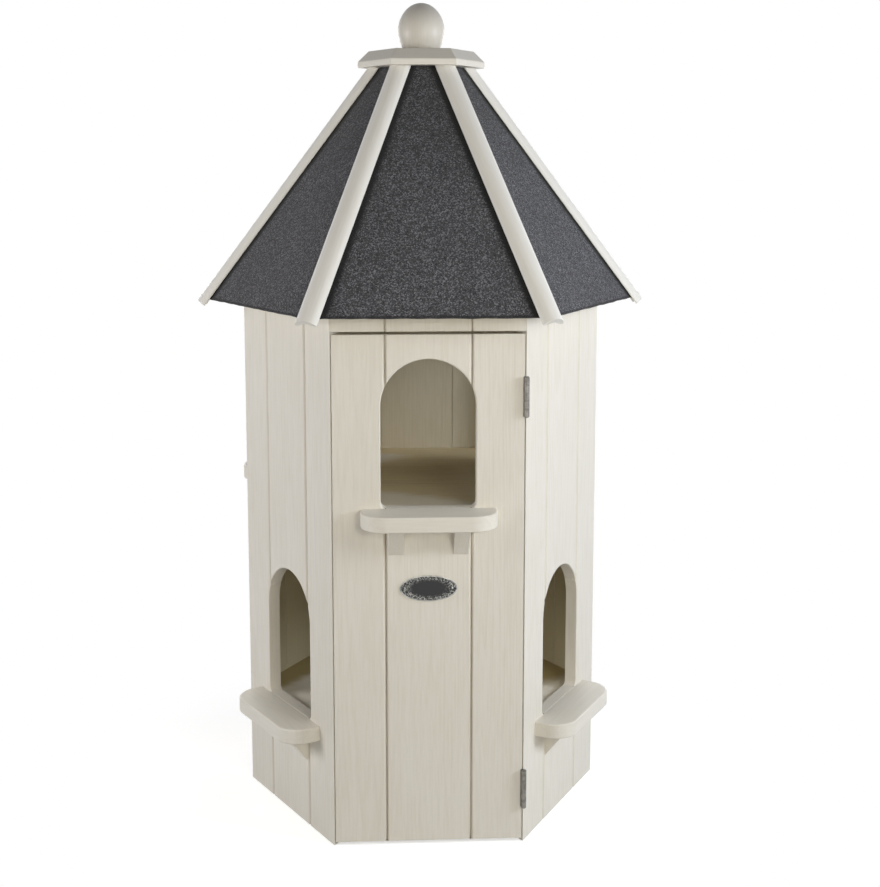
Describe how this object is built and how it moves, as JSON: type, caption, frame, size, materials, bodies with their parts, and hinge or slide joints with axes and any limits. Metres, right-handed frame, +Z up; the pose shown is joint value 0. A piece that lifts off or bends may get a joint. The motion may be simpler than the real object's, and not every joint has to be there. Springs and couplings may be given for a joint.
{
  "type": "hexagonal wooden dovecote",
  "caption": "Hexagonal wooden dovecote with steep felt roof, hip battens and ball finial, arched openings with landing ledges, and a full-height hinged front door.",
  "frame": {"origin": "centre of the hexagonal base, on the ground", "axes": "+Z up, -Y out of the front door, +X towards the door's hinges"},
  "size_m": [0.5516, 0.4822, 0.9789],
  "materials": {
    "stained_boards": "white wood stain over vertical grain",
    "stained_mouldings": "smooth white wood stain",
    "bare_boards": "thin stain on the hidden boards",
    "mineral_felt": "mineral-surfaced roofing felt",
    "hinge_steel": "zinc plated"
  },
  "bodies": {
    "house": {"base_board": "bare_boards", "lower_floor": "bare_boards", "upper_floor": "bare_boards", "door_header": "stained_boards", "hinge_frame_leaves": "hinge_steel", "hinge_pins": "hinge_steel", "roof_cap": "stained_mouldings", "ball_finial": "stained_mouldings", "wall_front_right": "stained_boards", "wall_back_right": "stained_boards", "wall_back": "stained_boards", "wall_back_left": "stained_boards", "wall_front_left": "stained_boards", "roof_deck_front": "bare_boards", "roof_felt_front": "mineral_felt", "hip_batten_1": "stained_mouldings", "ledge_front_right": "stained_mouldings", "ledge_brackets_front_right": "stained_mouldings", "roof_deck_front_right": "bare_boards", "roof_felt_front_right": "mineral_felt", "hip_batten_2": "stained_mouldings", "ledge_back_right": "stained_mouldings", "ledge_brackets_back_right": "stained_mouldings", "roof_deck_back_right": "bare_boards", "roof_felt_back_right": "mineral_felt", "hip_batten_3": "stained_mouldings", "ledge_back": "stained_mouldings", "ledge_brackets_back": "stained_mouldings", "roof_deck_back": "bare_boards", "roof_felt_back": "mineral_felt", "hip_batten_4": "stained_mouldings", "ledge_back_left": "stained_mouldings", "ledge_brackets_back_left": "stained_mouldings", "roof_deck_back_left": "bare_boards", "roof_felt_back_left": "mineral_felt", "hip_batten_5": "stained_mouldings", "ledge_front_left": "stained_mouldings", "ledge_brackets_front_left": "stained_mouldings", "roof_deck_front_left": "bare_boards", "roof_felt_front_left": "mineral_felt", "hip_batten_6": "stained_mouldings"},
    "door": {"door_leaf": "stained_boards", "door_battens": "stained_boards", "hinge_door_leaves": "hinge_steel", "ledge_front": "stained_mouldings", "ledge_brackets_front": "stained_mouldings"}
  },
  "joints": [
    {"name": "door_hinge", "type": "hinge", "parent": "house", "child": "door", "pos_m": [0.11017, -0.19382, 0.3], "axis": [0, 0, 1], "range_deg": [0, 165]}
  ]
}
